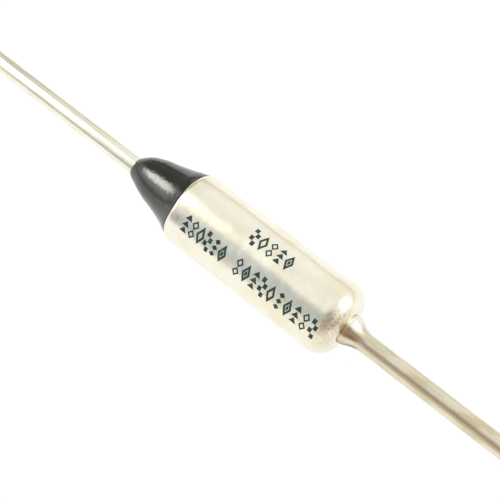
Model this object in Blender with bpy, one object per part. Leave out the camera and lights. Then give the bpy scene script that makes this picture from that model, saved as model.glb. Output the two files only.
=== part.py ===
"""A thermal fuse with axial leads: a drawn metal case, its two leads and the seal, with
the pellet, springs, discs, contact and bushing inside.

Every piece is turned, coiled or bent round one axis. The pieces are drawn along the
local Z of an empty that lies along the world's X, with the closed end of the case
towards +X. The origin is the middle of the case, and both leads reach equally far.
"""

from math import cos, floor, pi, radians, sin, tan

import bmesh
import bpy
from mathutils import Vector

MM = 0.001

# Case
case_diameter = 4.0 * MM
case_wall = 0.25 * MM
floor_thickness = 0.35 * MM
shoulder_radius = 1.0 * MM
rim_roll_radius = 0.4 * MM
rim_lip = 0.1 * MM
rim_edge = 0.04 * MM
dimple_depth = 0.04 * MM
dimple_slope = 0.06 * MM

# Leads
lead_diameter = 1.0 * MM
lead_reach = 35.0 * MM
lead_end_rounding = 0.06 * MM
flare_root_diameter = 1.66 * MM
flare_root_edge = 0.05 * MM
flare_rim = 0.18 * MM
flare_rim_rounding = 0.3 * MM
flare_cone = 0.74 * MM
flare_blend_radius = 2.0 * MM
tenon_diameter = 0.7 * MM
rivet_overhang = 0.3 * MM
rivet_thickness = 0.2 * MM
rivet_rounding = 0.1 * MM
head_overhang = 0.3 * MM
head_thickness = 0.4 * MM
head_rounding = 0.08 * MM

# Pellet, discs and springs
pellet_length = 2.8 * MM
pellet_edge = 0.1 * MM
disc_thickness = 0.25 * MM
disc_edge = 0.05 * MM
main_spring_length = 3.02 * MM
main_wire = 0.35 * MM
main_barrel_swell = 0.2 * MM
trip_wire = 0.2 * MM
coil_opening = 0.35
closed_coil_opening = 0.06

# Star contact
contact_thickness = 0.12 * MM
contact_hub_diameter = 1.45 * MM
finger_count = 8
finger_length = 0.5 * MM
finger_flare = radians(18)
finger_bend_radius = 0.3 * MM
finger_tip_radius = 0.16 * MM
finger_tip_curl = radians(50)

# Ceramic bushing
bushing_body_length = 2.2 * MM
bushing_nose_length = 0.7 * MM
bushing_nose_wall = 0.35 * MM
bushing_tail_length = 0.8 * MM
bushing_edge = 0.06 * MM

# Epoxy seal
seal_length = 3.55 * MM
seal_inset = 0.55 * MM
seal_tip_wall = 0.04 * MM
seal_feather = 0.03 * MM
seal_seam_angle = radians(50)
seal_taper = 2.5
seal_bluntness = 0.87
seal_foot_share = 0.45

# Clearances
seat_gap = 0.02 * MM
slide_gap = 0.03 * MM
disc_side_gap = 0.08 * MM
spring_side_gap = 0.25 * MM

# Fineness of the round stretches
turn_steps = 40
lead_turn_steps = 28
arc_chord = 0.16 * MM
fewest_arc_steps = 2
coil_steps = 20
wire_resolution = 2
seal_steps = 16
finger_steps = 4
merge_distance = 0.0001 * MM
sharp_angle = radians(35)

# Radii that follow from the sizes above
case_radius = case_diameter / 2
bore_radius = case_radius - case_wall
lip_radius = case_radius - rim_roll_radius - rim_lip
inner_shoulder = shoulder_radius - case_wall
inner_roll = rim_roll_radius - case_wall
lead_radius = lead_diameter / 2
root_radius = flare_root_diameter / 2
tenon_radius = tenon_diameter / 2
rivet_radius = tenon_radius + rivet_overhang
head_radius = lead_radius + head_overhang
bushing_bore_radius = lead_radius + slide_gap
nose_radius = bushing_bore_radius + bushing_nose_wall

# Heights along the axis: what is stacked inside gives the length of the case
case_length = (
    floor_thickness
    + pellet_length
    + 2 * disc_thickness
    + main_spring_length
    + contact_thickness
    + head_thickness
    + bushing_nose_length
    + bushing_body_length
    + case_wall
    + 8 * seat_gap
)
end_height = case_length / 2
floor_height = end_height - floor_thickness
dimple_height = end_height - dimple_depth
pellet_top = floor_height - seat_gap
pellet_base = pellet_top - pellet_length
pellet_disc_base = pellet_base - seat_gap - disc_thickness
main_spring_base = pellet_disc_base - seat_gap - main_spring_length
contact_disc_base = main_spring_base - seat_gap - disc_thickness
contact_base = contact_disc_base - seat_gap - contact_thickness
head_base = contact_base - seat_gap - head_thickness
nose_top = head_base - seat_gap
bushing_step = nose_top - bushing_nose_length
bushing_base = bushing_step - bushing_body_length
trip_spring_base = bushing_step + seat_gap
trip_spring_length = contact_base - seat_gap - trip_spring_base
rim_height = -end_height
lead_end_height = end_height + lead_reach


def clear_scene():
    for item in list(bpy.data.objects):
        bpy.data.objects.remove(item, do_unlink=True)


def axis_empty():
    """The axis that every piece is placed on: its local Z lies along the world's X."""
    empty = bpy.data.objects.new("fuse_axis", None)
    empty.rotation_euler = (0.0, pi / 2, 0.0)
    bpy.context.scene.collection.objects.link(empty)
    return empty


def plain_material(name, colour, metallic, roughness):
    material = bpy.data.materials.new(name)
    material.use_nodes = True
    shader = material.node_tree.nodes["Principled BSDF"]
    shader.inputs["Base Color"].default_value = (*colour, 1.0)
    shader.inputs["Metallic"].default_value = metallic
    shader.inputs["Roughness"].default_value = roughness
    return material


def placed(name, data, material, axis, base=0.0):
    """An object on the axis, with its own origin this far along it."""
    piece = bpy.data.objects.new(name, data)
    bpy.context.scene.collection.objects.link(piece)
    piece.parent = axis
    piece.location = (0.0, 0.0, base)
    data.materials.append(material)
    return piece


def spun(outline, steps, is_ring):
    """A bmesh of the outline spun round Z. Its points are (distance from the axis, height)."""
    bm = bmesh.new()
    points = [bm.verts.new((distance, 0.0, height)) for distance, height in outline]
    edges = [bm.edges.new(pair) for pair in zip(points, points[1:])]
    if is_ring:
        edges.append(bm.edges.new((points[-1], points[0])))
    bmesh.ops.spin(
        bm,
        geom=points + edges,
        cent=(0.0, 0.0, 0.0),
        axis=(0.0, 0.0, 1.0),
        angle=2 * pi,
        steps=steps,
        use_merge=True,
    )
    bmesh.ops.remove_doubles(bm, verts=bm.verts, dist=merge_distance)
    bmesh.ops.recalc_face_normals(bm, faces=bm.faces)
    return bm


def smooth_mesh(name, bm):
    mesh = bpy.data.meshes.new(name)
    bm.to_mesh(mesh)
    bm.free()
    mesh.shade_smooth()
    mesh.set_sharp_from_angle(angle=sharp_angle)
    return mesh


def turned(name, outline, material, axis, base, steps=turn_steps, is_ring=False):
    """One turned solid. A ring's outline closes on itself, and any other runs from axis to axis."""
    lowered = [(distance, height - base) for distance, height in outline]
    mesh = smooth_mesh(name, spun(lowered, steps, is_ring))
    return placed(name, mesh, material, axis, base)


def arc_steps(radius, sweep):
    return max(fewest_arc_steps, round(radius * sweep / arc_chord))


def rounded(corners):
    """The outline through (distance, height, fillet) corners, each fillet drawn as an arc."""
    outline = []
    for index, (distance, height, fillet) in enumerate(corners):
        corner = Vector((distance, height))
        if not fillet:
            outline.append(corner)
            continue
        before = (Vector(corners[index - 1][:2]) - corner).normalized()
        after = (Vector(corners[(index + 1) % len(corners)][:2]) - corner).normalized()
        half = before.angle(after) / 2
        centre = corner + (before + after).normalized() * fillet / sin(half)
        first = corner + before * fillet / tan(half) - centre
        last = corner + after * fillet / tan(half) - centre
        sweep = pi - 2 * half
        steps = arc_steps(fillet, sweep)
        for step in range(steps + 1):
            turned_by = sweep * step / steps
            spoke = (first * sin(sweep - turned_by) + last * sin(turned_by)) / sin(sweep)
            outline.append(centre + spoke)
    return outline


def around(centre, radius, start, end):
    """Points on an arc about the centre. Angles run from straight out towards the closed end."""
    steps = arc_steps(radius, abs(end - start))
    angles = [start + (end - start) * step / steps for step in range(steps + 1)]
    return [centre + radius * Vector((cos(angle), sin(angle))) for angle in angles]


def make_case(axis, material):
    """A drawn cup. Its floor is pierced and dimpled, and its rim is rolled in over the bushing."""
    hole_radius = tenon_radius + seat_gap
    dimple_radius = root_radius + slide_gap
    lip_height = rim_height + case_wall
    outline = rounded(
        [
            (hole_radius, dimple_height, 0),
            (dimple_radius, dimple_height, 0),
            (dimple_radius + dimple_slope, end_height, 0),
            (case_radius, end_height, shoulder_radius),
            (case_radius, rim_height, rim_roll_radius),
            (lip_radius, rim_height, rim_edge),
            (lip_radius, lip_height, 0),
            (bore_radius, lip_height, inner_roll),
            (bore_radius, floor_height, inner_shoulder),
            (hole_radius, floor_height, 0),
        ]
    )
    return turned("case", outline, material, axis, 0.0, is_ring=True)


def make_case_lead(axis, material):
    """A lead with a flared root outside the floor, a tenon through it and a spun head inside."""
    root_height = dimple_height + seat_gap
    rim_top = root_height + flare_rim
    spun_top = floor_height - seat_gap
    spun_base = spun_top - rivet_thickness
    outline = rounded(
        [
            (0.0, lead_end_height, 0),
            (lead_radius, lead_end_height, lead_end_rounding),
            (lead_radius, rim_top + flare_cone, flare_blend_radius),
            (root_radius, rim_top, flare_rim_rounding),
            (root_radius, root_height, flare_root_edge),
            (tenon_radius, root_height, 0),
            (tenon_radius, spun_top, 0),
            (rivet_radius, spun_top, 0),
            (rivet_radius, spun_base, rivet_rounding),
            (0.0, spun_base, 0),
        ]
    )
    return turned("case_lead", outline, material, axis, root_height, lead_turn_steps)


def make_isolated_lead(axis, material):
    """A lead with an upset head that the star contact presses on."""
    head_top = head_base + head_thickness
    outline = rounded(
        [
            (0.0, head_top, 0),
            (head_radius, head_top, head_rounding),
            (head_radius, head_base, 0),
            (lead_radius, head_base, 0),
            (lead_radius, -lead_end_height, lead_end_rounding),
            (0.0, -lead_end_height, 0),
        ]
    )
    return turned("isolated_lead", outline, material, axis, head_base, lead_turn_steps)


def make_pellet(axis, material):
    """A pressed pellet, shaped to the round end of the case and hollowed for the spun head."""
    pellet_radius = bore_radius - slide_gap
    hollow_radius = rivet_radius + slide_gap
    hollow_depth = rivet_thickness + seat_gap
    outline = rounded(
        [
            (0.0, pellet_top - hollow_depth, 0),
            (hollow_radius, pellet_top - hollow_depth, 0),
            (hollow_radius, pellet_top, 0),
            (pellet_radius, pellet_top, inner_shoulder),
            (pellet_radius, pellet_base, pellet_edge),
            (0.0, pellet_base, 0),
        ]
    )
    return turned("thermal_pellet", outline, material, axis, pellet_base)


def make_disc(name, base, axis, material):
    """A stamped disc with rounded edges, loose in the bore of the case."""
    disc_radius = bore_radius - disc_side_gap
    outline = rounded(
        [
            (0.0, base + disc_thickness, 0),
            (disc_radius, base + disc_thickness, disc_edge),
            (disc_radius, base, disc_edge),
            (0.0, base, 0),
        ]
    )
    return turned(name, outline, material, axis, base)


def make_spring(name, wire, length, end_radius, middle_radius, base, axis, material):
    """A compression spring with one closed coil at each end. A wider middle makes it a barrel."""
    closed_rise = wire * (1 + closed_coil_opening)
    open_length = length - wire - 2 * closed_rise
    open_coils = max(1, floor(open_length / (wire * (1 + coil_opening))))
    coils = open_coils + 2
    curve = bpy.data.curves.new(name, "CURVE")
    curve.dimensions = "3D"
    curve.bevel_depth = wire / 2
    curve.bevel_resolution = wire_resolution
    curve.use_fill_caps = True
    spline = curve.splines.new("POLY")
    spline.points.add(coils * coil_steps)
    for index, point in enumerate(spline.points):
        coil = index / coil_steps
        if coil < 1:
            height = closed_rise * coil
        elif coil < open_coils + 1:
            height = closed_rise + open_length * (coil - 1) / open_coils
        else:
            height = length - wire - closed_rise * (coils - coil)
        swell = (middle_radius - end_radius) * sin(pi * height / (length - wire))
        radius = end_radius + swell
        angle = 2 * pi * coil
        point.co = (radius * cos(angle), radius * sin(angle), wire / 2 + height, 1.0)
    return placed(name, curve, material, axis, base)


def finger_path():
    """The middle line of the star contact from its centre to a finger's tip, and its cup's radius."""
    crest_radius = bore_radius - slide_gap - contact_thickness / 2
    straight_end = crest_radius - finger_tip_radius * (1 - cos(finger_flare))
    straight_start = straight_end - finger_length * sin(finger_flare)
    flat_radius = straight_start - finger_bend_radius * cos(finger_flare)
    height = contact_thickness / 2
    path = [Vector((0.0, height)), Vector((contact_hub_diameter / 2, height))]
    bend_centre = Vector((flat_radius, height - finger_bend_radius))
    path += around(bend_centre, finger_bend_radius, pi / 2, finger_flare)
    straight_run = finger_length * cos(finger_flare)
    bend_end = path[-1]
    finger_end = Vector((straight_end, bend_end.y - straight_run))
    tip_spoke = Vector((cos(finger_flare), sin(finger_flare)))
    tip_centre = finger_end - finger_tip_radius * tip_spoke
    path += around(tip_centre, finger_tip_radius, finger_flare, finger_flare - finger_tip_curl)
    cup_radius = bend_end.x - contact_thickness / 2
    return path, cup_radius


def make_star_contact(axis, material):
    """A thin stamped star, bent to a cup, whose fingers bear on the bore of the case."""
    path, _ = finger_path()
    steps_per_finger = finger_steps + 1
    pitch = 2 * pi / (finger_count * steps_per_finger)
    bm = spun([tuple(point) for point in path], finger_count * steps_per_finger, False)
    slits = []
    for face in bm.faces:
        middle = face.calc_center_median()
        angle = Vector((middle.x, -middle.y)).angle_signed(Vector((1.0, 0.0)))
        step = floor((angle % (2 * pi)) / pitch)
        is_slit = step % steps_per_finger == finger_steps
        if is_slit and middle.xy.length > contact_hub_diameter / 2:
            slits.append(face)
    bmesh.ops.delete(bm, geom=slits, context="FACES")
    contact = placed("star_contact", smooth_mesh("star_contact", bm), material, axis, contact_base)
    sheet = contact.modifiers.new("sheet", "SOLIDIFY")
    sheet.thickness = contact_thickness
    sheet.offset = 0.0
    sheet.use_even_offset = True
    return contact


def make_bushing(axis, material):
    """A stepped insulator: a nose for the trip spring, a body in the bore and a tail in the seal."""
    body_radius = bore_radius - slide_gap
    tail_end = bushing_base - bushing_tail_length
    outline = rounded(
        [
            (bushing_bore_radius, nose_top, bushing_edge),
            (nose_radius, nose_top, bushing_edge),
            (nose_radius, bushing_step, 0),
            (body_radius, bushing_step, bushing_edge),
            (body_radius, bushing_base, inner_roll),
            (nose_radius, bushing_base, 0),
            (nose_radius, tail_end, bushing_edge),
            (bushing_bore_radius, tail_end, 0),
        ]
    )
    return turned("ceramic_bushing", outline, material, axis, bushing_base, is_ring=True)


def seal_outside():
    """The blunt outer outline of the seal, from its thin foot on the rolled rim to its tip."""
    roll_centre = Vector((case_radius - rim_roll_radius, rim_height + rim_roll_radius))
    foot_spoke = Vector((sin(seal_seam_angle), -cos(seal_seam_angle)))
    seam = roll_centre + foot_spoke * (rim_roll_radius + seat_gap + seal_feather)
    shoulder = case_radius - seal_inset
    tip_radius = lead_radius + slide_gap + seal_tip_wall
    tip_height = rim_height - seal_length
    outline = []
    for step in range(seal_steps + 1):
        share = (1 - cos(pi * step / seal_steps)) / 2
        ogive = (1 - share**seal_taper) ** seal_bluntness
        foot = max(0.0, 1 - share / seal_foot_share) ** 2
        distance = tip_radius + (shoulder - tip_radius) * ogive + (seam.x - shoulder) * foot
        outline.append(Vector((distance, seam.y + (tip_height - seam.y) * share)))
    return outline


def make_seal(axis, material):
    """The resin that was poured round the bushing's tail and over the rolled rim."""
    roll_centre = Vector((case_radius - rim_roll_radius, rim_height + rim_roll_radius))
    lead_hole = lead_radius + slide_gap
    tail_hole = nose_radius + seat_gap
    tail_end = bushing_base - bushing_tail_length - seat_gap
    plug_radius = lip_radius - seat_gap
    outline = seal_outside()
    outline += [
        Vector((lead_hole, rim_height - seal_length)),
        Vector((lead_hole, tail_end)),
        Vector((tail_hole, tail_end)),
        Vector((tail_hole, bushing_base - seat_gap)),
        Vector((plug_radius, bushing_base - seat_gap)),
        Vector((plug_radius, rim_height - seat_gap)),
    ]
    foot_angle = seal_seam_angle - pi / 2
    outline += around(roll_centre, rim_roll_radius + seat_gap, -pi / 2, foot_angle)
    return turned("epoxy_seal", outline, material, axis, rim_height, is_ring=True)


def make_fuse():
    axis = axis_empty()
    silver = plain_material("silver_plate", (0.9, 0.88, 0.8), 1.0, 0.3)
    tinned_copper = plain_material("tinned_copper", (0.78, 0.77, 0.7), 1.0, 0.3)
    spring_steel = plain_material("spring_steel", (0.5, 0.5, 0.52), 1.0, 0.35)
    pellet_wax = plain_material("pellet_compound", (0.8, 0.78, 0.7), 0.0, 0.6)
    alumina = plain_material("alumina", (0.85, 0.83, 0.78), 0.0, 0.5)
    epoxy = plain_material("black_epoxy", (0.03, 0.03, 0.028), 0.0, 0.3)

    make_case(axis, silver)
    make_case_lead(axis, tinned_copper)
    make_pellet(axis, pellet_wax)
    for name, base in (("pellet_disc", pellet_disc_base), ("contact_disc", contact_disc_base)):
        make_disc(name, base, axis, spring_steel)

    main_middle = bore_radius - spring_side_gap - main_wire / 2
    main_end = main_middle - main_barrel_swell
    make_spring(
        "main_spring",
        main_wire,
        main_spring_length,
        main_end,
        main_middle,
        main_spring_base,
        axis,
        spring_steel,
    )
    make_star_contact(axis, silver)
    _, cup_radius = finger_path()
    trip_radius = (nose_radius + cup_radius) / 2
    make_spring(
        "trip_spring",
        trip_wire,
        trip_spring_length,
        trip_radius,
        trip_radius,
        trip_spring_base,
        axis,
        spring_steel,
    )
    make_bushing(axis, alumina)
    make_isolated_lead(axis, silver)
    make_seal(axis, epoxy)


clear_scene()
make_fuse()
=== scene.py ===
# %% [markdown]
# # A thermal fuse with axial leads
#
# A thermal fuse is a switch that opens once, for good, when it gets too hot. A small drawn
# metal case holds a pellet that melts, two springs and a contact. One lead is riveted to the
# case, and the other comes out of a black resin seal, insulated from it.
#
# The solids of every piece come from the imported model, at their real size. This notebook
# gives them their looks: it remodels the four pieces that show, prints the case, gives every
# piece a finish, and sets up the light and the camera. Sizes are in millimetres times MM.

from math import atan2, cos, pi, radians, sin

import bmesh
import bpy
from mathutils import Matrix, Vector


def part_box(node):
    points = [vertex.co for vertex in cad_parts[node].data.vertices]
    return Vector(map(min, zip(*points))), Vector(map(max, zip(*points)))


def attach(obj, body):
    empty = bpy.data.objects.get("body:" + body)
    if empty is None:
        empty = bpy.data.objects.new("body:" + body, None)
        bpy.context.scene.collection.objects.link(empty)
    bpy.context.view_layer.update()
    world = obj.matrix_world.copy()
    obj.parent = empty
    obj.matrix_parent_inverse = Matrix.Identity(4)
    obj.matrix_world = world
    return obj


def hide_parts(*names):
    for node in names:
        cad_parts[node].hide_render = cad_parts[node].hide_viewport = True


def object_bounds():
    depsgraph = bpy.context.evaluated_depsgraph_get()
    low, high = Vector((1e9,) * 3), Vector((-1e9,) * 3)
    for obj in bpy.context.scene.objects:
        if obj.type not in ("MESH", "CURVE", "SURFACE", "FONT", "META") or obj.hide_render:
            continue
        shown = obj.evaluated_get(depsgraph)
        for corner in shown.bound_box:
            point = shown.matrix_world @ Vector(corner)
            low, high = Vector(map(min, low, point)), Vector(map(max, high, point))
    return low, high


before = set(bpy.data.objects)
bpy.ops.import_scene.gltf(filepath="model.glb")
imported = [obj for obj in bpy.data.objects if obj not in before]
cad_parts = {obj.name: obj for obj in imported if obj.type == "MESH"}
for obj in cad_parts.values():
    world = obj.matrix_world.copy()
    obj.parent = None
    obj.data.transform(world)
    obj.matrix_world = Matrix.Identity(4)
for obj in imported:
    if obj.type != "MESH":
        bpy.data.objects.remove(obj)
cad_box = [list(corner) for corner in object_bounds()]

MM = 0.001
print("pieces in the packed model:", ", ".join(sorted(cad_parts)))
print("size in mm:", [round((b - a) / MM, 2) for a, b in zip(*cad_box)])

# %% [markdown]
# ## The camera
#
# The photograph looks down on the fuse from above its closed end, so steeply that the leads
# cross the picture from corner to corner. A camera can be placed by eye, but it is easier to
# say where it looks, from which side, how high and how far, and to work out the rest. A long
# lens close to a small thing gives the slight narrowing towards the far lead.

# %% Camera
camera_target = Vector((-1.12, 0.11, 0.15)) * MM
camera_turn = radians(40.8)
camera_height = radians(63.1)
camera_distance = 59.6 * MM
camera_lens = 85.5

camera_side = Vector(
    (
        sin(camera_turn) * cos(camera_height),
        -cos(camera_turn) * cos(camera_height),
        sin(camera_height),
    )
)
bpy.ops.object.camera_add(location=camera_target + camera_side * camera_distance)
camera = bpy.context.object
camera.name = "photo_camera"
camera.rotation_euler = camera_side.to_track_quat("Z", "Y").to_euler()
camera.data.lens = camera_lens
camera.data.clip_start = 1 * MM
camera.data.clip_end = 10.0
bpy.context.scene.camera = camera
print("camera at, in mm:", [round(value / MM, 1) for value in camera.location])

# %% [markdown]
# ## Colours and nodes
#
# Colours are picked on a screen, in sRGB, but a shader works with linear light, so one
# function turns the first into the second. Every node is added by one more function, which
# takes the node's settings and what goes into its sockets: a number, a colour or another
# node's output.

# %% Helpers for colours and nodes
MIX_SHARE, MIX_FIRST, MIX_SECOND, MIX_RESULT = 0, 6, 7, 2  # a Mix node's sockets for colours


def linear(hex_colour, strength=1.0):
    """An sRGB hex colour as linear red, green, blue and alpha."""
    shares = [int(hex_colour[place : place + 2], 16) / 255 for place in (1, 3, 5)]
    light = [s / 12.92 if s <= 0.04045 else ((s + 0.055) / 1.055) ** 2.4 for s in shares]
    return [channel * strength for channel in light] + [1.0]


def add(tree, kind, inputs=None, **settings):
    """A new node with these settings, whose inputs are set to values or linked to outputs."""
    node = tree.nodes.new(kind)
    for name, value in settings.items():
        setattr(node, name, value)
    for socket, value in (inputs or {}).items():
        if isinstance(value, bpy.types.NodeSocket):
            tree.links.new(value, node.inputs[socket])
        else:
            node.inputs[socket].default_value = value
    return node


print("mid grey #808080 as light:", round(linear("#808080")[0], 3))

# %% [markdown]
# ## The light
#
# Bright metal has hardly any colour of its own: it shows the room. Small metal parts are
# photographed in a white tent, so that they look white and not black. This tent is drawn in
# the world's shader, by direction: a pale dome, a bright window to the left that makes the
# long highlight on the seal, softer ones to the right, and a dark side, where the camera
# stands in the tent's opening. A slanting row of grey cards beside it gives the grey bands
# along the case and the leads, and two dull cards on the far side keep the seal's upper edge
# dark. Area lamps could do the same, but the dark side would then need real black cards,
# which would stand in the way of the other views.
#
# Seen directly, the world is plain white.

# %% The tent's dome
world = bpy.data.worlds.new("light_tent")
bpy.context.scene.world = world
world.use_nodes = True
tent = world.node_tree
tent.nodes.clear()
outward = add(tent, "ShaderNodeTexCoord").outputs["Generated"]
upward = add(tent, "ShaderNodeSeparateXYZ", {"Vector": outward}).outputs["Z"]

above_horizon = add(
    tent,
    "ShaderNodeMapRange",
    {"Value": upward, "From Min": 0.02, "From Max": 0.16},
    interpolation_type="SMOOTHSTEP",
)
sides = add(
    tent,
    "ShaderNodeMix",
    {
        MIX_SHARE: above_horizon.outputs["Result"],
        MIX_FIRST: linear("#c4bcae"),
        MIX_SECOND: linear("#fbfbf8"),
    },
    data_type="RGBA",
)
near_top = add(
    tent,
    "ShaderNodeMapRange",
    {"Value": upward, "From Min": 0.5, "From Max": 0.95},
    interpolation_type="SMOOTHSTEP",
)
dome = add(
    tent,
    "ShaderNodeMix",
    {
        MIX_SHARE: near_top.outputs["Result"],
        MIX_FIRST: sides.outputs[MIX_RESULT],
        MIX_SECOND: linear("#efefed"),
    },
    data_type="RGBA",
)
print("dome drawn with", len(tent.nodes), "nodes")

# %% Cards and windows in the tent
def towards(turn, height):
    """The direction at this turn round Z from +X and this height above the horizon, in degrees."""
    flat = cos(radians(height))
    return Vector((flat * cos(radians(turn)), flat * sin(radians(turn)), sin(radians(height))))


def card(behind, direction, full_angle, last_angle, colour):
    """What is behind, with a round card over it that fades out from one angle to the other."""
    facing = add(
        tent,
        "ShaderNodeVectorMath",
        {0: outward, 1: direction},
        operation="DOT_PRODUCT",
    )
    share = add(
        tent,
        "ShaderNodeMapRange",
        {
            "Value": facing.outputs["Value"],
            "From Min": cos(radians(last_angle)),
            "From Max": cos(radians(full_angle)),
        },
        interpolation_type="SMOOTHSTEP",
    )
    mixed = add(
        tent,
        "ShaderNodeMix",
        {MIX_SHARE: share.outputs["Result"], MIX_FIRST: behind, MIX_SECOND: colour},
        data_type="RGBA",
    )
    return mixed.outputs[MIX_RESULT]


# Each one's direction, the angles up to which it is full and at which it has faded, its light
grey_row = (
    (towards(-107, 50), 8, 20, linear("#b4bbc2")),
    (towards(-108, 32), 7, 18, linear("#b8bfc5")),
    (towards(-118, 14), 5, 15, linear("#b2b8bc")),
)
dark_side = (
    (towards(-52, 40), 12, 40, linear("#b7afa4")),
    (towards(-18, 14), 10, 26, linear("#d2c7bb")),
    (camera_side, 6, 22, linear("#b4aca2")),
)
soft_windows = (
    (towards(36, 22), 11, 24, linear("#ffffff", 1.5)),
    (towards(46, 40), 11, 25, linear("#ffffff", 1.5)),
)
far_side = (
    (towards(131, 2), 8, 20, linear("#8f8f8a")),
    (towards(152, 26), 10, 26, linear("#a0a09a")),
)
left_window = (
    (towards(-151, 28), 4, 21, linear("#fffdf3", 2.0)),
    (towards(-176, 51), 2, 13, linear("#fffdf3", 5.0)),
    (towards(-167, 36), 1, 18, linear("#fffdf3", 9.0)),
)
light = dome.outputs[MIX_RESULT]
for one in grey_row + dark_side + soft_windows + far_side + left_window:
    light = card(light, *one)
seen_directly = add(tent, "ShaderNodeLightPath").outputs["Is Camera Ray"]
light = add(
    tent,
    "ShaderNodeMix",
    {MIX_SHARE: seen_directly, MIX_FIRST: light, MIX_SECOND: linear("#ffffff")},
    data_type="RGBA",
)
background = add(tent, "ShaderNodeBackground", {"Color": light.outputs[MIX_RESULT]})
add(tent, "ShaderNodeOutputWorld", {"Surface": background.outputs["Background"]})
print("tent drawn with", len(tent.nodes), "nodes")

# %% [markdown]
# ## The floor
#
# The fuse lies on a sheet of white paper. Lit paper comes out a little darker than the pure
# white behind a product photograph. More light would burn out the metal, so the paper gets
# a white glow instead, only where the camera sees it, directly or in the metal. The share
# that is left to the paper itself keeps the shadow under the fuse.

# %% Floor
floor_width = 800 * MM
paper_glow = 0.9

floor_height = cad_box[0][2]
bpy.ops.object.select_all(action="DESELECT")
bpy.ops.mesh.primitive_plane_add(size=floor_width, location=(0, 0, floor_height))
floor = bpy.context.object
floor.name = "paper_floor"
bpy.ops.object.transform_apply(location=True, rotation=False, scale=True)

paper = bpy.data.materials.new("white_paper")
paper.use_nodes = True
tree = paper.node_tree
tree.nodes.clear()
path = add(tree, "ShaderNodeLightPath")
looked_at = add(
    tree,
    "ShaderNodeMath",
    {0: path.outputs["Is Camera Ray"], 1: path.outputs["Is Glossy Ray"]},
    operation="MAXIMUM",
)
looked_at = add(
    tree,
    "ShaderNodeMath",
    {0: looked_at.outputs["Value"], 1: path.outputs["Is Transmission Ray"]},
    operation="MAXIMUM",
)
glow_share = add(
    tree,
    "ShaderNodeMath",
    {0: looked_at.outputs["Value"], 1: paper_glow},
    operation="MULTIPLY",
)
sheet = add(tree, "ShaderNodeBsdfDiffuse", {"Color": linear("#f4f4f2")})
glow = add(tree, "ShaderNodeEmission", {"Color": linear("#ffffff"), "Strength": 1.05})
mixed = add(
    tree,
    "ShaderNodeMixShader",
    {0: glow_share.outputs["Value"], 1: sheet.outputs["BSDF"], 2: glow.outputs["Emission"]},
)
add(tree, "ShaderNodeOutputMaterial", {"Surface": mixed.outputs["Shader"]})
floor.data.materials.append(paper)
bpy.context.scene.view_settings.view_transform = "Standard"
print("floor at z =", round(floor_height / MM, 2), "mm")

# %% [markdown]
# ## How the finishes are made
#
# Each finish starts from what the real surface is and how it was made: plated, drawn,
# poured, pressed. Its patterns read the place on the piece in metres, so a grain of a tenth
# of a millimetre stays that size on the real thing. One helper begins a material, and one
# makes the soft noise that most surfaces are mottled with, drawn out along the axis where
# the real surface was drawn through a die.

# %% Helpers for finishes
def new_finish(name, metallic=0.0, ior=1.5):
    """A material with one Principled shader, and the place on the piece that its patterns read."""
    finish = bpy.data.materials.new(name)
    finish.use_nodes = True
    tree = finish.node_tree
    shader = tree.nodes["Principled BSDF"]
    shader.inputs["Metallic"].default_value = metallic
    shader.inputs["IOR"].default_value = ior
    place = add(tree, "ShaderNodeTexCoord").outputs["Object"]
    return finish, tree, shader, place


def mottle(tree, place, size, detail=2.0, stretch=(1, 1, 1)):
    """Noise between 0 and 1 with features of this size, drawn out this much along X, Y and Z."""
    scale = [1 / (size * longer) for longer in stretch]
    stretched = add(tree, "ShaderNodeMapping", {"Vector": place, "Scale": scale})
    inputs = {"Vector": stretched.outputs["Vector"], "Scale": 1.0, "Detail": detail}
    return add(tree, "ShaderNodeTexNoise", inputs).outputs["Fac"]


def near_spot(tree, place, spot, full, last):
    """A share that is 1 within one distance of a spot and fades to 0 at the other."""
    away = add(tree, "ShaderNodeVectorMath", {0: place, 1: spot}, operation="DISTANCE")
    inputs = {
        "Value": away.outputs["Value"],
        "From Min": full,
        "From Max": last,
        "To Min": 1.0,
        "To Max": 0.0,
    }
    fade = add(tree, "ShaderNodeMapRange", inputs, interpolation_type="SMOOTHSTEP")
    return fade.outputs["Result"]


def stain_and_painted_light(finish, share, colour):
    """Lays one more colour over a finish, by this share."""
    tree = finish.node_tree
    base = tree.nodes["Principled BSDF"].inputs["Base Color"]
    inputs = {MIX_SHARE: share, MIX_FIRST: base.links[0].from_socket, MIX_SECOND: linear(colour)}
    stained = add(tree, "ShaderNodeMix", inputs, data_type="RGBA")
    tree.links.new(stained.outputs[MIX_RESULT], base)


def on_case(along, turn, radius=2.0 * MM):
    """A point on the case from its place along X and its turn round X from the top, in degrees."""
    return Vector((along, -radius * sin(radians(turn)), radius * cos(radians(turn))))


# %% [markdown]
# ## Silver plate
#
# The cup is brass with a few micrometres of bright silver over it. Silver is the whitest of
# metals, and old silver turns faintly yellow and brown in patches, which gives the case its
# cream colour. Drawing leaves fine lines along the cup, and the plating is very slightly
# uneven, like the skin of an orange. The cup itself isn't quite true either: shallow dents,
# too flat to see, make the edges of its reflections wander. The plate is dull and brown in
# specks where it was touched, at the start of the lower line of marks. On the shoulder of the
# closed end, brown and pink patches broken into specks, one of them beside the root of the
# lead, are painted reflections of the tent's dark side.

# %% Silver plate
silver, tree, shader, place = new_finish("bright_silver_plate", metallic=1.0)
clean_silver = linear("#fbf7e6")
yellowed_silver = linear("#f5eed5")

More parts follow.
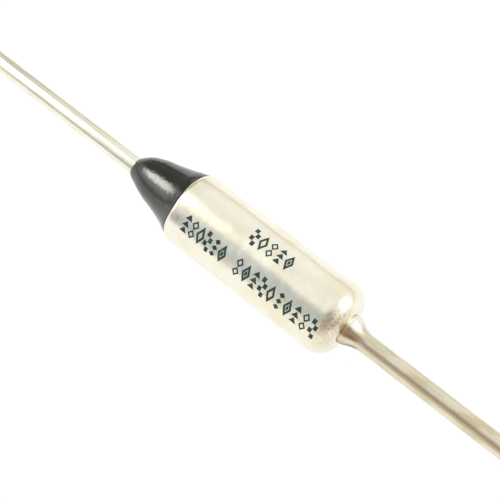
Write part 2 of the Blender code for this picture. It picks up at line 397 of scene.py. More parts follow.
yellowed = add(
    tree,
    "ShaderNodeMapRange",
    {"Value": mottle(tree, place, 1.8 * MM, 3.0), "From Min": 0.42, "From Max": 0.68},
    interpolation_type="SMOOTHSTEP",
)
toned = add(
    tree,
    "ShaderNodeMix",
    {
        MIX_SHARE: yellowed.outputs["Result"],
        MIX_FIRST: clean_silver,
        MIX_SECOND: yellowed_silver,
    },
    data_type="RGBA",
)
tree.links.new(toned.outputs[MIX_RESULT], shader.inputs["Base Color"])
speckle = add(
    tree,
    "ShaderNodeMapRange",
    {
        "Value": mottle(tree, place, 0.14 * MM, 3.0),
        "From Min": 0.4,
        "From Max": 0.62,
        "To Min": 0.1,
        "To Max": 0.45,
    },
)
# The three patches on the shoulder of the closed end are painted reflections of the tent's dark
# side, broken into specks. The spot by the marks is a smudge.
shoulder_painted_reflection = (on_case(4.85 * MM, 34, 1.75 * MM), 0.2 * MM, 0.95 * MM, "#a8977f")
spot_by_marks = (on_case(-4.7 * MM, 44), 0.1 * MM, 0.5 * MM, "#b0a08c")
root_painted_reflection = (on_case(5.05 * MM, 14, 1.45 * MM), 0.3 * MM, 1.0 * MM, "#c99b80")
lower_painted_reflection = (on_case(4.9 * MM, 66, 1.6 * MM), 0.2 * MM, 0.9 * MM, "#cbb8a6")
for spot, full, last, colour in (shoulder_painted_reflection, spot_by_marks, root_painted_reflection, lower_painted_reflection):
    smudge_and_reflection_share = add(
        tree,
        "ShaderNodeMath",
        {0: near_spot(tree, place, spot, full, last), 1: speckle.outputs["Result"]},
        operation="MULTIPLY",
    )
    stain_and_painted_light(silver, smudge_and_reflection_share.outputs["Value"], colour)
print("four stains on the silver plate")

# %% Gloss and unevenness of the silver plate
gloss = add(
    tree,
    "ShaderNodeMapRange",
    {
        "Value": mottle(tree, place, 0.5 * MM, 2.0),
        "From Min": 0.3,
        "From Max": 0.7,
        "To Min": 0.2,
        "To Max": 0.3,
    },
)
tree.links.new(gloss.outputs["Result"], shader.inputs["Roughness"])
draw_lines = add(
    tree,
    "ShaderNodeBump",
    {
        "Height": mottle(tree, place, 0.05 * MM, 1.0, (40, 1, 1)),
        "Distance": 0.001 * MM,
        "Strength": 0.5,
    },
)
orange_skin = add(
    tree,
    "ShaderNodeBump",
    {
        "Height": mottle(tree, place, 0.45 * MM, 2.0),
        "Distance": 0.012 * MM,
        "Strength": 0.6,
        "Normal": draw_lines.outputs["Normal"],
    },
)
shallow_dents = add(
    tree,
    "ShaderNodeBump",
    {
        "Height": mottle(tree, place, 1.7 * MM, 0.0),
        "Distance": 0.06 * MM,
        "Strength": 1.0,
        "Normal": orange_skin.outputs["Normal"],
    },
)
tree.links.new(shallow_dents.outputs["Normal"], shader.inputs["Normal"])
print("silver plate has", len(tree.nodes), "nodes")

# %% [markdown]
# ## Cast epoxy
#
# The seal is epoxy resin filled with carbon black, cured in the open. It is nearly black
# but far from dull: the skin is smooth, so it mirrors the tent weakly, more so where it
# turns away. The filler sinks a little while the resin cures, so a thin clear skin, made as a
# coat, lies over it. Its grain breaks the edge of the highlight. The real grain is far finer
# than the picture could show, so it is drawn as coarse as it needs to be.

# %% Epoxy
epoxy, tree, shader, place = new_finish("black_cast_epoxy", ior=1.6)
soot = add(
    tree,
    "ShaderNodeMapRange",
    {"Value": mottle(tree, place, 0.7 * MM, 3.0), "From Min": 0.35, "From Max": 0.65},
)
tinted = add(
    tree,
    "ShaderNodeMix",
    {
        MIX_SHARE: soot.outputs["Result"],
        MIX_FIRST: linear("#0e0f0a"),
        MIX_SECOND: linear("#1a1a13"),
    },
    data_type="RGBA",
)
tree.links.new(tinted.outputs[MIX_RESULT], shader.inputs["Base Color"])
gloss = add(
    tree,
    "ShaderNodeMapRange",
    {
        "Value": mottle(tree, place, 0.3 * MM, 2.0),
        "From Min": 0.3,
        "From Max": 0.7,
        "To Min": 0.1,
        "To Max": 0.16,
    },
)
tree.links.new(gloss.outputs["Result"], shader.inputs["Roughness"])
grain = add(
    tree,
    "ShaderNodeBump",
    {
        "Height": mottle(tree, place, 0.16 * MM, 2.0),
        "Distance": 0.012 * MM,
        "Strength": 0.8,
    },
)
skin = add(
    tree,
    "ShaderNodeBump",
    {
        "Height": mottle(tree, place, 0.5 * MM, 1.0),
        "Distance": 0.012 * MM,
        "Strength": 0.6,
        "Normal": grain.outputs["Normal"],
    },
)
tree.links.new(skin.outputs["Normal"], shader.inputs["Normal"])
tree.links.new(skin.outputs["Normal"], shader.inputs["Coat Normal"])
shader.inputs["Coat Weight"].default_value = 0.5
shader.inputs["Coat Roughness"].default_value = 0.14
print("epoxy has", len(tree.nodes), "nodes")

# %% [markdown]
# ## Coated and bare metals
#
# Both leads were pulled through a die and then coated. One is copper dipped in tin, which is
# a little darker and greener than silver, and the other is plated with silver. The die's
# lines run along the wire, and the coating pools in soft patches. On the tinned lead, a brown
# band along its side and brown on its flared root are painted reflections of the tent's dark
# side, a darker brown under the flare is painted shade, and a white spot on top of the flare
# is a painted highlight.
#
# The metal pieces inside the case were made in like ways, so one function makes them all,
# from the two colours that each varies between and the way that its lines run. The discs were
# punched from cold-rolled strip, whose lines cross them from side to side. The springs are
# coiled from hard wire, which is darker, and their lines are too fine to follow round a coil.
# The star contact is thin copper alloy plated with dull silver.

# %% Metals
def metal_finish(name, bright, dull, smoothest, roughest, lines=(1, 1, 1)):
    finish, tree, shader, place = new_finish(name, metallic=1.0)
    pooled = [min(longer, 3) for longer in lines]
    patches = add(
        tree,
        "ShaderNodeMapRange",
        {
            "Value": mottle(tree, place, 0.5 * MM, 3.0, pooled),
            "From Min": 0.38,
            "From Max": 0.66,
        },
        interpolation_type="SMOOTHSTEP",
    )
    coat = add(
        tree,
        "ShaderNodeMix",
        {
            MIX_SHARE: patches.outputs["Result"],
            MIX_FIRST: linear(bright),
            MIX_SECOND: linear(dull),
        },
        data_type="RGBA",
    )
    tree.links.new(coat.outputs[MIX_RESULT], shader.inputs["Base Color"])
    gloss = add(
        tree,
        "ShaderNodeMapRange",
        {
            "Value": mottle(tree, place, 0.3 * MM, 2.0, pooled),
            "From Min": 0.3,
            "From Max": 0.7,
            "To Min": smoothest,
            "To Max": roughest,
        },
    )
    tree.links.new(gloss.outputs["Result"], shader.inputs["Roughness"])
    fine_lines = add(
        tree,
        "ShaderNodeBump",
        {
            "Height": mottle(tree, place, 0.04 * MM, 1.0, lines),
            "Distance": 0.001 * MM,
            "Strength": 0.6,
        },
    )
    soft_waves = add(
        tree,
        "ShaderNodeBump",
        {
            "Height": mottle(tree, place, 0.35 * MM, 2.0, pooled),
            "Distance": 0.008 * MM,
            "Strength": 0.6,
            "Normal": fine_lines.outputs["Normal"],
        },
    )
    tree.links.new(soft_waves.outputs["Normal"], shader.inputs["Normal"])
    print(name, "has", len(tree.nodes), "nodes")
    return finish


along_wire = (60, 1, 1)
across_disc = (1, 60, 1)
tinned_wire = metal_finish("hot_tinned_copper", "#e9e2ca", "#d6cdae", 0.2, 0.3, along_wire)
silvered_wire = metal_finish("silver_plated_wire", "#fbf8ea", "#f3eed9", 0.2, 0.28, along_wire)
rolled_steel = metal_finish("cold_rolled_steel", "#c4c5c8", "#adafb2", 0.26, 0.38, across_disc)
spring_wire = metal_finish("hard_drawn_spring_steel", "#a09f9e", "#86868a", 0.24, 0.36)
contact_plate = metal_finish("dull_silver_plated_contact", "#eeeadd", "#d9cfb6", 0.3, 0.44)

# %% [markdown]
# ## Painted light on the tinned lead
#
# The painted reflections and shade run along the lead, each on its own side of it, so they are
# placed by the turn round the wire, from the top towards the viewer. One edge of each is soft
# and wanders, and the other is fairly sharp.

# %% Painted reflections, shade and highlight on the tinned lead
tree = tinned_wire.node_tree
place = add(tree, "ShaderNodeTexCoord").outputs["Object"]
wandering = add(
    tree,
    "ShaderNodeMapRange",
    {
        "Value": mottle(tree, place, 0.3 * MM, 2.0, (3, 1, 1)),
        "To Min": radians(-14),
        "To Max": radians(14),
    },
)
parts = add(tree, "ShaderNodeSeparateXYZ", {"Vector": place}).outputs
towards_viewer = add(tree, "ShaderNodeMath", {0: parts["Y"], 1: -1.0}, operation="MULTIPLY")
turn = add(
    tree,
    "ShaderNodeMath",
    {0: towards_viewer.outputs["Value"], 1: parts["Z"]},
    operation="ARCTAN2",
).outputs["Value"]
uneven_turn = add(
    tree,
    "ShaderNodeMath",
    {0: turn, 1: wandering.outputs["Result"]},
    operation="ADD",
).outputs["Value"]


def stripe(none, full, still_full, gone, share):
    """A share that rises softly between the first two turns and falls sharply between the others."""
    soft_edge = add(
        tree,
        "ShaderNodeMapRange",
        {"Value": uneven_turn, "From Min": radians(none), "From Max": radians(full)},
        interpolation_type="SMOOTHSTEP",
    )
    sharp_edge = add(
        tree,
        "ShaderNodeMapRange",
        {"Value": turn, "From Min": radians(gone), "From Max": radians(still_full)},
        interpolation_type="SMOOTHSTEP",
    )
    both_edges = add(
        tree,
        "ShaderNodeMath",
        {0: soft_edge.outputs["Result"], 1: sharp_edge.outputs["Result"]},
        operation="MULTIPLY",
    )
    shared = add(
        tree,
        "ShaderNodeMath",
        {0: both_edges.outputs["Value"], 1: share},
        operation="MULTIPLY",
    )
    return shared.outputs["Value"]


painted_reflection_on_root = near_spot(tree, place, (5.5 * MM, -0.4 * MM, 0.6 * MM), 0.3 * MM, 0.75 * MM)
painted_shade_under_root = near_spot(tree, place, (5.7 * MM, -0.65 * MM, 0.0), 0.35 * MM, 0.75 * MM)
painted_highlight_spot = near_spot(tree, place, (5.45 * MM, 0.25 * MM, 0.75 * MM), 0.3 * MM, 0.6 * MM)
painted_band_share = 0.75
# A painted highlight: a white spot on the top of the flare.
stain_and_painted_light(tinned_wire, painted_highlight_spot, "#fffdf2")
# Painted reflection of the tent's dark side: a brown band along the side of the lead.
stain_and_painted_light(tinned_wire, stripe(12, 36, 49, 55, painted_band_share), "#d0b596")
# Painted reflection of the tent's dark side on the flared root, in light and dark brown.
stain_and_painted_light(tinned_wire, stripe(2, 14, 46, 54, painted_reflection_on_root), "#cdbba0")
stain_and_painted_light(tinned_wire, stripe(28, 40, 46, 54, painted_reflection_on_root), "#ad9075")
# Painted shade under the flare.
stain_and_painted_light(tinned_wire, stripe(72, 96, 170, 180, painted_shade_under_root), "#8f8470")
print("tinned wire has", len(tree.nodes), "nodes")

# %% [markdown]
# ## Pressed and fired powders
#
# The pellet is an organic powder pressed hard in a die: off-white, waxy and nearly matt, with
# its grains still showing. The bushing is alumina, pressed in the same way but then fired, so
# it is whiter, harder and finer, with a dry, unglazed skin. Neither mirrors anything, so what
# the eye gets is their grain and the faint clouds in their colour.

# %% Powders
def powder_finish(name, pale, dark, grain_size, grain_height, roughness):
    finish, tree, shader, place = new_finish(name)
    clouds = add(
        tree,
        "ShaderNodeMapRange",
        {"Value": mottle(tree, place, 0.8 * MM, 4.0), "From Min": 0.35, "From Max": 0.65},
    )
    body = add(
        tree,
        "ShaderNodeMix",
        {
            MIX_SHARE: clouds.outputs["Result"],
            MIX_FIRST: linear(pale),
            MIX_SECOND: linear(dark),
        },
        data_type="RGBA",
    )
    tree.links.new(body.outputs[MIX_RESULT], shader.inputs["Base Color"])
    shader.inputs["Roughness"].default_value = roughness
    grains = add(
        tree,
        "ShaderNodeBump",
        {
            "Height": mottle(tree, place, grain_size, 3.0),
            "Distance": grain_height,
            "Strength": 0.7,
        },
    )
    tree.links.new(grains.outputs["Normal"], shader.inputs["Normal"])
    print(name, "has", len(tree.nodes), "nodes")
    return finish


pressed_pellet = powder_finish(
    "pressed_organic_powder",
    pale="#ebe6d4",
    dark="#dcd4ba",
    grain_size=0.09 * MM,
    grain_height=0.008 * MM,
    roughness=0.6,
)
fired_alumina = powder_finish(
    "fired_alumina",
    pale="#f2efe6",
    dark="#e6e2d6",
    grain_size=0.04 * MM,
    grain_height=0.003 * MM,
    roughness=0.48,
)

# %% [markdown]
# ## The pieces inside
#
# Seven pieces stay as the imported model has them, inside the case: their shapes are right, so
# each only gets its finish.

# %% Finishes of the pieces inside
inside = {
    "thermal_pellet": pressed_pellet,
    "pellet_disc": rolled_steel,
    "main_spring": spring_wire,
    "contact_disc": rolled_steel,
    "star_contact": contact_plate,
    "trip_spring": spring_wire,
    "ceramic_bushing": fired_alumina,
}
for name, finish in inside.items():
    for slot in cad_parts[name].material_slots:
        slot.material = finish
print("finished inside:", ", ".join(inside))

# %% [markdown]
# ## Working in edit mode from a script
#
# The modelling operators work on what is selected, and a script has no mouse to select with.
# So faces and edges are picked by where they are and which way they face. Each piece starts
# as a primitive in its place, and a piece is finished by taking it out of edit mode, turning
# its faces outwards and shading it smooth.

# %% Helpers for edit mode
NEAR = 0.002 * MM  # points closer than this are at the same place
FLAT = 0.9999  # a normal's share along an axis, above which its face is square to it
SHARP = radians(32)  # edges sharper than this stay sharp


def select_only(piece):
    bpy.ops.object.select_all(action="DESELECT")
    piece.select_set(True)
    bpy.context.view_layer.objects.active = piece


def start(name):
    """Names the new primitive, puts its place into its mesh and goes into edit mode."""
    piece = bpy.context.object
    piece.name = name
    piece.data.name = name
    bpy.ops.object.transform_apply(location=True, rotation=True, scale=True)
    bpy.ops.object.mode_set(mode="EDIT")
    return piece


def pick_faces(piece, test):
    """Selects the faces whose middle and normal pass the test."""
    bpy.ops.mesh.select_mode(type="FACE")
    bpy.ops.mesh.select_all(action="DESELECT")
    bm = bmesh.from_edit_mesh(piece.data)
    for face in bm.faces:
        if test(face.calc_center_median(), face.normal):
            face.select_set(True)
    bmesh.update_edit_mesh(piece.data)


def pick_edges(piece, test):
    """Selects the edges whose two ends pass the test."""
    bpy.ops.mesh.select_mode(type="EDGE")
    bpy.ops.mesh.select_all(action="DESELECT")
    bm = bmesh.from_edit_mesh(piece.data)
    for edge in bm.edges:
        if all(test(corner.co) for corner in edge.verts):
            edge.select_set(True)
    bmesh.update_edit_mesh(piece.data)


def pick_points(piece, test):
    bpy.ops.mesh.select_mode(type="VERT")
    bpy.ops.mesh.select_all(action="DESELECT")
    bm = bmesh.from_edit_mesh(piece.data)
    for point in bm.verts:
        if test(point.co):
            point.select_set(True)
    bmesh.update_edit_mesh(piece.data)


def extrude(shift):
    bpy.ops.mesh.extrude_region_move(TRANSFORM_OT_translate={"value": shift})


def from_axis(point):
    """How far a point is from the axis of the fuse, which is the world's X."""
    return Vector((point.y, point.z)).length


def finish_mesh(piece):
    bpy.ops.mesh.select_all(action="SELECT")
    bpy.ops.mesh.normals_make_consistent(inside=False)
    bpy.ops.object.mode_set(mode="OBJECT")
    select_only(piece)
    bpy.ops.object.shade_smooth_by_angle(angle=SHARP)
    print(piece.name, "has", len(piece.data.polygons), "faces")


# %% [markdown]
# ## The case
#
# The case is a cup, deep-drawn from thin brass and silver-plated. Its closed end has the
# large shoulder of the drawing punch and a shallow dimple for the root of the lead, with a
# hole through it. Its rim was rolled in over the bushing once everything was inside.
#
# It could be spun from a profile. Here it starts as a cylinder, as the cup starts as a slug:
# both ends are bevelled to their roundings, the open end is inset and pushed in to make the
# wall, and the hole is bridged through the floor. The cylinder is thinner than the solid by
# the thickness of the print, which lies on it.

# %% Outside of the case
print_thickness = 0.006 * MM
round_steps = 144
shoulder_radius = 1.0 * MM
roll_radius = 0.3 * MM

case_low, case_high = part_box("case")
open_end, closed_end = case_low.x, case_high.x
case_radius = case_high.y - print_thickness

bpy.ops.object.select_all(action="DESELECT")
bpy.ops.mesh.primitive_cylinder_add(
    vertices=round_steps,
    radius=case_radius,
    depth=closed_end - open_end,
    end_fill_type="NGON",
    location=((open_end + closed_end) / 2, 0, 0),
    rotation=(0, pi / 2, 0),
)
case = start("case_shell")

pick_edges(case, lambda point: point.x > closed_end - NEAR)
bpy.ops.mesh.bevel(offset=shoulder_radius, segments=20, profile=0.5, affect="EDGES")
pick_edges(case, lambda point: point.x < open_end + NEAR)
bpy.ops.mesh.bevel(offset=roll_radius, segments=10, profile=0.5, affect="EDGES")
print("case from", round(open_end / MM, 2), "to", round(closed_end / MM, 2), "mm along X")

# %% Dimple in the closed end, and the hole's outer edge
dimple_radius = 0.86 * MM
dimple_slope = 0.1 * MM
dimple_depth = 0.04 * MM
tenon_hole_radius = 0.37 * MM

pick_faces(case, lambda middle, normal: middle.x > closed_end - NEAR and normal.x > FLAT)
flat_radius = case_radius - shoulder_radius
bpy.ops.mesh.inset(thickness=flat_radius - dimple_radius - dimple_slope)
bpy.ops.mesh.inset(thickness=dimple_slope, depth=-dimple_depth)
bpy.ops.mesh.inset(thickness=dimple_radius - tenon_hole_radius)
hole_outside = closed_end - dimple_depth
print("dimple at", round(hole_outside / MM, 2), "mm along X")

# %% Inside of the case: the lip, the bore, the floor and the hole's inner edge
lip_width = 0.1 * MM
wall = 0.25 * MM
floor_thickness = 0.35 * MM
inner_shoulder = shoulder_radius - wall

pick_faces(case, lambda middle, normal: middle.x < open_end + NEAR and normal.x < -FLAT)
bpy.ops.mesh.inset(thickness=lip_width)
lip_radius = case_radius - roll_radius - lip_width
bore_radius = case_radius - wall
bore_to_lip = bore_radius / lip_radius
extrude((wall, 0, 0))
extrude((0, 0, 0))
bpy.ops.transform.resize(value=(1, bore_to_lip, bore_to_lip))
extrude((closed_end - floor_thickness - open_end - wall, 0, 0))
bpy.ops.mesh.inset(thickness=bore_radius - tenon_hole_radius)
hole_inside = closed_end - floor_thickness


def is_hole_end(middle, normal):
    at_an_end = min(abs(middle.x - hole_outside), abs(middle.x - hole_inside)) < NEAR
    return at_an_end and from_axis(middle) < NEAR


def is_inner_corner(point):
    return abs(point.x - hole_inside) < NEAR and abs(from_axis(point) - bore_radius) < NEAR


pick_faces(case, is_hole_end)
bpy.ops.mesh.bridge_edge_loops()
pick_edges(case, is_inner_corner)
bpy.ops.mesh.bevel(offset=inner_shoulder, segments=10, profile=0.5, affect="EDGES")
finish_mesh(case)
case.data.materials.append(silver)
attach(case, "root")
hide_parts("case")

# %% [markdown]
# ## The seal
#
# Black epoxy was poured round the lead, over the end of the ceramic bushing and the rolled
# rim, and cured in the shape that it ran to: a blunt ogive, hollow at its foot where it
# creeps up the rim. That shape is round about the lead, so its outline is drawn point by
# point and spun, with the bores for the lead and the bushing's tail in the same outline.
#
# A poured surface isn't turned on a lathe. So its foot is drawn back along the rolled rim in
# three shallow scallops, where the resin crept less far, and a Displace modifier with soft
# clouds moves the rest in and out by some hundredths of a millimetre. A second one lets it
# lean a little to one side, as it set in the photograph.

# %% Outline of the seal
lead_radius = 0.5 * MM
seal_gap = 0.005 * MM
seal_inset = 0.55 * MM
seal_tip_wall = 0.04 * MM
seal_feather = 0.03 * MM
seam_angle = radians(56)
seal_taper = 2.5
seal_bluntness = 0.87
foot_share = 0.55
seal_steps = 48
tail_radius = 0.9 * MM

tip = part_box("epoxy_seal")[0].x
bushing_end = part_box("ceramic_bushing")[0].x
roll_centre = Vector((open_end + roll_radius, case_radius - roll_radius))
seam_spoke = Vector((-cos(seam_angle), sin(seam_angle)))
seam = roll_centre + seam_spoke * (roll_radius + seal_feather)
shoulder = case_radius - seal_inset
tip_radius = lead_radius + seal_tip_wall


def seal_radius(share):
    """The radius of the seal's outside at this share of the way from the seam to the tip."""
    ogive = (1 - share**seal_taper) ** seal_bluntness
    foot = max(0.0, 1 - share / foot_share) ** 2
    return tip_radius + (shoulder - tip_radius) * ogive + (seam.y - shoulder) * foot


outline = []
for step in range(seal_steps + 1):
    share = (1 - cos(pi * step / seal_steps)) / 2
    outline.append((seam.x + (tip - seam.x) * share, seal_radius(share)))
outline += [
    (tip, lead_radius + seal_gap),
    (bushing_end - seal_gap, lead_radius + seal_gap),
    (bushing_end - seal_gap, tail_radius),
    (open_end + wall - seal_gap, tail_radius),
    (open_end + wall - seal_gap, lip_radius - seal_gap),
    (open_end - seal_gap, lip_radius - seal_gap),
]
roll_steps = 8
for step in range(roll_steps + 1):
    angle = seam_angle * step / roll_steps
    spoke = Vector((-cos(angle), sin(angle)))
    outline.append(tuple(roll_centre + spoke * (roll_radius + seal_gap)))
print("the seal's outline has", len(outline), "points")


# %% Seal, spun from its outline
def lathe(name, outline):
    """Draws a closed outline of (place along X, distance from the axis) points and spins it."""
    bpy.ops.object.select_all(action="DESELECT")
    bpy.ops.mesh.primitive_plane_add(size=MM, location=(0, 0, 0))
    piece = start(name)
    bpy.ops.mesh.select_mode(type="VERT")
    bpy.ops.mesh.select_all(action="SELECT")
    bpy.ops.mesh.merge(type="CENTER")
    bpy.ops.transform.translate(value=(outline[0][0], 0, outline[0][1]))
    for before, after in zip(outline, outline[1:]):
        extrude((after[0] - before[0], 0, after[1] - before[1]))
    ends = (Vector(outline[0]), Vector(outline[-1]))

    def is_end(point):
        place = Vector((point.x, point.z))
        return any((place - end).length < NEAR for end in ends)

    pick_points(piece, is_end)
    bpy.ops.mesh.edge_face_add()
    bpy.ops.mesh.select_all(action="SELECT")
    bpy.ops.mesh.spin(steps=round_steps, angle=2 * pi, center=(0, 0, 0), axis=(1, 0, 0))
    bpy.ops.mesh.select_all(action="SELECT")
    bpy.ops.mesh.remove_doubles(threshold=0.001 * MM)
    return piece


seal = lathe("resin_seal", outline)
finish_mesh(seal)

# %% Lumps, scallops and lean of the seal
lump_size = 1.6 * MM
lump_height = 0.05 * MM
lump_still = 0.1  # the grey of the clouds that leaves the surface where it is
lump_fade = 0.5 * MM
seal_lean = 0.08 * MM
scallops = 3
scallop_turn = radians(-28)
scallop_share = 0.45
scallop_reach = 0.45 * MM


def is_outside(point):
    """Whether a point of the seal is on the surface that shows."""
    share = (point.x - seam.x) / (tip - seam.x)
    return 0 <= share <= 1 and abs(from_axis(point) - seal_radius(share)) < NEAR


def weigh(piece, name, weight_at):
    """A vertex group that holds each point by a weight that depends on where it is."""
    group = piece.vertex_groups.new(name=name)
    for point in piece.data.vertices:
        weight = weight_at(point.co)
        if weight > 0:
            group.add([point.index], min(1.0, weight), "REPLACE")


def lean(piece, group, amount):
    """Moves the points of a group along Y, less where the group holds them less."""
    select_only(piece)
    tilt = piece.modifiers.new("lean", "DISPLACE")
    tilt.direction = "Y"
    tilt.vertex_group = group
    tilt.strength = amount
    tilt.mid_level = 0.0
    bpy.ops.object.modifier_apply(modifier="lean")


def lump_weight(point):
    """Nothing at the seam, the tip and the hidden side, and all of it between."""
    from_the_ends = min(seam.x - point.x, point.x - tip)
    return is_outside(point) * from_the_ends / lump_fade


weigh(seal, "lumpy", lump_weight)

# The foot's scallops: what lies on the roll slides along it, and the outside follows
under_foot = roll_radius + seal_gap
for point in seal.data.vertices:
    turn = atan2(-point.co.y, point.co.z)
    drawn_back = scallop_share * (1 + cos(scallops * (turn - scallop_turn))) / 2
    place = Vector((point.co.x, from_axis(point.co)))
    spoke = place - roll_centre
    if abs(spoke.length - under_foot) < NEAR:
        angle = (1 - drawn_back) * atan2(spoke.y, -spoke.x)
        moved = roll_centre + under_foot * Vector((-cos(angle), sin(angle)))
    elif is_outside(point.co):
        angle = (1 - drawn_back) * seam_angle
        shift = Vector((-cos(angle), sin(angle))) - seam_spoke
        share = max(0.0, 1 - (seam.x - place.x) / scallop_reach) ** 2
        moved = place + (roll_radius + seal_feather) * share * shift
    else:
        continue
    point.co = (moved.x, point.co.y * moved.y / place.y, point.co.z * moved.y / place.y)

clouds = bpy.data.textures.new("seal_lumps", "CLOUDS")
clouds.noise_scale = lump_size
clouds.noise_depth = 1
lumps = seal.modifiers.new("lumps", "DISPLACE")
lumps.texture = clouds
lumps.texture_coords = "LOCAL"
lumps.vertex_group = "lumpy"
lumps.strength = lump_height
lumps.mid_level = lump_still
bpy.ops.object.modifier_apply(modifier="lumps")
lean(seal, "lumpy", seal_lean)
seal.data.materials.append(epoxy)
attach(seal, "root")
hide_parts("epoxy_seal")

# %% [markdown]
# ## The leads
#
# Both leads are drawn wire, one millimetre thick. The one on the case has a flared root,
# headed in a die before it was riveted, and the other goes through the bushing. A circle is
# extruded ring by ring along the wire, and the corners are bevelled to their radii. The head
# wasn't struck quite in line with the wire, so it leans a little to one side.

# %% Helpers for wire
wire_steps = 72


def start_rod(name, place, radius):
    """A disc across the axis, in edit mode with its face selected, ready to be drawn out."""
    bpy.ops.object.select_all(action="DESELECT")
    bpy.ops.mesh.primitive_circle_add(
        vertices=wire_steps,
        radius=radius,
        fill_type="NGON",
        location=(place, 0, 0),
        rotation=(0, pi / 2, 0),
    )
    rod = start(name)
    bpy.ops.mesh.select_all(action="SELECT")
    return rod


def draw_out(length, scale=1.0):
    """Extrudes the selected face along the axis, and widens or narrows it."""
    extrude((length, 0, 0))
    bpy.ops.transform.resize(value=(1, scale, scale))


def round_ring(piece, place, radius, offset, segments):
    """Bevels the ring of edges at this place along the axis and this distance from it."""
    pick_edges(
        piece,
        lambda point: abs(point.x - place) < NEAR and abs(from_axis(point) - radius) < NEAR,
    )
    bpy.ops.mesh.bevel(offset=offset, segments=segments, profile=0.5, affect="EDGES")


# %% Lead on the case
root_radius = 0.83 * MM
root_edge = 0.025 * MM
flare_rim = 0.24 * MM
flare_rim_blend = 0.09 * MM
flare_cone = 0.68 * MM
flare_blend = 0.38 * MM
flare_lean = 0.05 * MM
end_rounding = 0.06 * MM
tenon_radius = 0.35 * MM
spun_head_radius = 0.65 * MM
spun_head_thickness = 0.2 * MM

lead_low, lead_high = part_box("case_lead")
root = closed_end - dimple_depth + seal_gap
rim_top = root + flare_rim
flare_end = rim_top + flare_cone
case_lead = start_rod("riveted_lead", lead_low.x, spun_head_radius)
draw_out(spun_head_thickness)
draw_out(0, tenon_radius / spun_head_radius)
draw_out(root - lead_low.x - spun_head_thickness)
draw_out(0, root_radius / tenon_radius)
draw_out(flare_rim)
draw_out(flare_cone, lead_radius / root_radius)
draw_out(lead_high.x - flare_end)
round_ring(case_lead, flare_end, lead_radius, flare_blend, segments=12)
round_ring(case_lead, rim_top, root_radius, flare_rim_blend, segments=6)
round_ring(case_lead, root, root_radius, root_edge, segments=4)
round_ring(case_lead, lead_high.x, lead_radius, end_rounding, segments=4)
round_ring(case_lead, lead_low.x, spun_head_radius, end_rounding, segments=4)
finish_mesh(case_lead)
flare_tail = flare_end + flare_blend


def flare_weight(point):
    """Nothing at the root's foot and on the wire, and all of it at the top of the rim."""
    rising = (point.x - root) / flare_rim
    falling = (flare_tail - point.x) / (flare_tail - rim_top)
    return min(rising, falling)


weigh(case_lead, "flared", flare_weight)
lean(case_lead, "flared", flare_lean)
case_lead.data.materials.append(tinned_wire)
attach(case_lead, "root")
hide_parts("case_lead")

# %% Lead through the seal
head_thickness = 0.4 * MM

far_low, far_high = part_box("isolated_lead")
head_radius = far_high.y
far_lead = start_rod("sealed_lead", far_low.x, lead_radius)
draw_out(far_high.x - head_thickness - far_low.x)
draw_out(0, head_radius / lead_radius)
draw_out(head_thickness)
round_ring(far_lead, far_low.x, lead_radius, end_rounding, segments=4)
round_ring(far_lead, far_high.x, head_radius, end_rounding, segments=4)
finish_mesh(far_lead)
far_lead.data.materials.append(silvered_wire)
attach(far_lead, "root")
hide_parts("isolated_lead")

# %% [markdown]
# ## The ink
#
# The case is pad-printed in dark teal ink: a rubber pad picks a thin wet film off a plate and
# presses it onto the metal. The film is a little thinner in places, where the colour turns
# lighter, and it dries nearly matt, so the marks stay dark where the silver round them shines.

# %% Ink
ink, tree, shader, place = new_finish("dark_teal_ink")
thin_places = add(
    tree,
    "ShaderNodeMapRange",
    {"Value": mottle(tree, place, 0.2 * MM, 3.0), "From Min": 0.5, "From Max": 0.75},
)
film = add(
    tree,
    "ShaderNodeMix",
    {
        MIX_SHARE: thin_places.outputs["Result"],
        MIX_FIRST: linear("#0f3236"),
        MIX_SECOND: linear("#2b5a5c"),
    },
    data_type="RGBA",
)
tree.links.new(film.outputs[MIX_RESULT], shader.inputs["Base Color"])
shader.inputs["Roughness"].default_value = 0.5
print("ink has", len(tree.nodes), "nodes")

# %% [markdown]
# ## The marks
#
# Two lines of small marks along the case give it the look of a printed part. They are plain
# ornaments: lozenges, beads, arrows and checks.
#
# Each shape is modelled once, flat. A circle with few corners is a square, a lozenge or a
# triangle, and insetting it and deleting its middle leaves a stroke. Its faces are cut
# small, so that it can follow the round case later.

# %% Helpers for flat marks
SQUARE = pi / 4  # the turn that stands a square on its side
mark_height = 1.0 * MM
mark_width = 0.42 * MM
mark_cuts = 5
stacked_share = 0.86  # of its step, so that stacked shapes stand apart


def flat_part(corners, turn, width, height, across=0.0, up=0.0, line=None):
    """A flat shape, this far from the middle of its mark. With a line width it is hollow."""
    bpy.ops.object.select_all(action="DESELECT")
    bpy.ops.mesh.primitive_circle_add(
        vertices=corners,
        radius=MM,
        fill_type="NGON",
        rotation=(0, 0, turn),
    )
    bpy.ops.object.transform_apply(location=False, rotation=True, scale=False)
    part = bpy.context.object
    part.dimensions = (width, height, 0)
    part.location = (across, up, 0)
    start("part_of_mark")
    bpy.ops.mesh.select_mode(type="FACE")
    bpy.ops.mesh.select_all(action="SELECT")
    if line:
        bpy.ops.mesh.inset(thickness=line)
        bpy.ops.mesh.delete(type="FACE")
        bpy.ops.mesh.select_all(action="SELECT")
    bpy.ops.mesh.subdivide(number_cuts=mark_cuts)
    bpy.ops.object.mode_set(mode="OBJECT")
    return part


def join(name, parts):
    bpy.ops.object.select_all(action="DESELECT")
    for part in parts:
        part.select_set(True)
    bpy.context.view_layer.objects.active = parts[0]
    if len(parts) > 1:
        bpy.ops.object.join()
    joined = bpy.context.object
    joined.name = name
    joined.data.name = name
    return joined


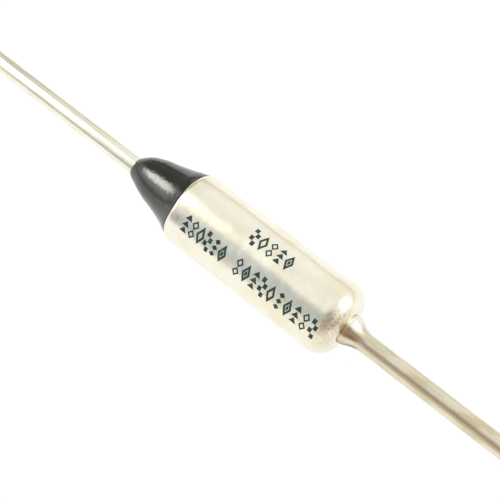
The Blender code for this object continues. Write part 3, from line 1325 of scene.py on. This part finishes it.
def stack(count, corners, turn, width):
    """Solid shapes one above the other, which share the height of a mark."""
    step = mark_height / count
    middles = [step * (place + 0.5) - mark_height / 2 for place in range(count)]
    return [flat_part(corners, turn, width, stacked_share * step, up=up) for up in middles]


def checks(rows):
    """Solid squares that step from side to side on their way up."""
    step = mark_height / rows
    parts = []
    for row in range(rows):
        side = (-1) ** row * mark_width / 4
        up = step * (row + 0.5) - mark_height / 2
        parts.append(flat_part(4, SQUARE, mark_width / 2, step, across=side, up=up))
    return parts


# %% Six flat marks
lozenge_width = 0.483 * MM
lozenge_line = 0.1105 * MM
pupil_width = 0.168 * MM
pupil_height = 0.36 * MM
twin_line = 0.078 * MM
bead_width = 0.336 * MM
half = mark_height / 2
shapes = {
    "lozenge": [flat_part(4, 0, lozenge_width, mark_height, line=lozenge_line)],
    "eye": [
        flat_part(4, 0, lozenge_width, mark_height, line=lozenge_line),
        flat_part(4, 0, pupil_width, pupil_height),
    ],
    "twins": [
        flat_part(4, 0, mark_width, half, up=half / 2, line=twin_line),
        flat_part(4, 0, mark_width, half, up=-half / 2, line=twin_line),
    ],
    "beads": stack(3, 4, 0, bead_width),
    "arrows": stack(3, 3, 0, mark_width),
    "checks": checks(4),
}
masters = {name: join("mark_" + name, parts) for name, parts in shapes.items()}
print(len(masters), "shapes modelled")

# %% [markdown]
# ## Printing the case
#
# The marks stand in three groups: two in the lower line, which slopes a little, and a short
# one above. Each is a row of copies, laid on the case with a Shrinkwrap modifier from right
# above it, as the pad comes down, and given the thickness of the ink with Solidify. The
# group is then turned round the axis to where it stands on the case.
#
# With no window, the rotate operator turns the other way, so its angles have their sign
# changed.

# %% Helper that prints a group
above_case = 2 * case_radius


def print_group(name, row, first, pitch, height, slope, turn):
    """Prints a row of shapes, spaced along X from the first, at this turn round the axis."""
    marks = []
    for place, shape in enumerate(row):
        mark = masters[shape].copy()
        mark.data = masters[shape].data.copy()
        bpy.context.collection.objects.link(mark)
        mark.scale = (1, height / mark_height, 1)
        mark.location = (first + place * pitch, 0, above_case)
        marks.append(mark)
    group = join(name, marks)
    bpy.ops.object.transform_apply(location=True, rotation=True, scale=True)
    bpy.ops.transform.rotate(value=-slope, orient_axis="Z", center_override=(0, 0, 0))
    bpy.ops.object.transform_apply(location=True, rotation=True, scale=False)
    laid = group.modifiers.new("laid", "SHRINKWRAP")
    laid.target = case
    laid.wrap_method = "PROJECT"
    laid.use_project_z = True
    laid.use_negative_direction = True
    laid.use_positive_direction = False
    bpy.ops.object.modifier_apply(modifier="laid")
    film = group.modifiers.new("film", "SOLIDIFY")
    film.thickness = print_thickness
    film.offset = 1.0
    bpy.ops.object.modifier_apply(modifier="film")
    bpy.ops.transform.rotate(value=-turn, orient_axis="X", center_override=(0, 0, 0))
    bpy.ops.object.transform_apply(location=True, rotation=True, scale=False)
    group.data.materials.append(ink)
    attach(group, "root")
    print(name, "has", len(group.data.polygons), "faces")


# %% Three groups of marks
lower_height, lower_slope, lower_turn = 1.05 * MM, radians(-2), radians(47.5)
upper_height, upper_slope, upper_turn = 0.95 * MM, 0.0, radians(-3)
lower_left = "arrows twins lozenge checks beads eye".split()
lower_right = "twins eye arrows checks lozenge beads eye arrows twins checks".split()
upper = "checks lozenge twins arrows eye".split()
for name, row, first, pitch in (
    ("print_lower_left", lower_left, -4.02 * MM, 0.48 * MM),
    ("print_lower_right", lower_right, -0.57 * MM, 0.535 * MM),
):
    print_group(name, row, first, pitch, lower_height, lower_slope, lower_turn)
print_group("print_upper", upper, -0.79 * MM, 0.54 * MM, upper_height, upper_slope, upper_turn)
for master in masters.values():
    bpy.data.objects.remove(master, do_unlink=True)
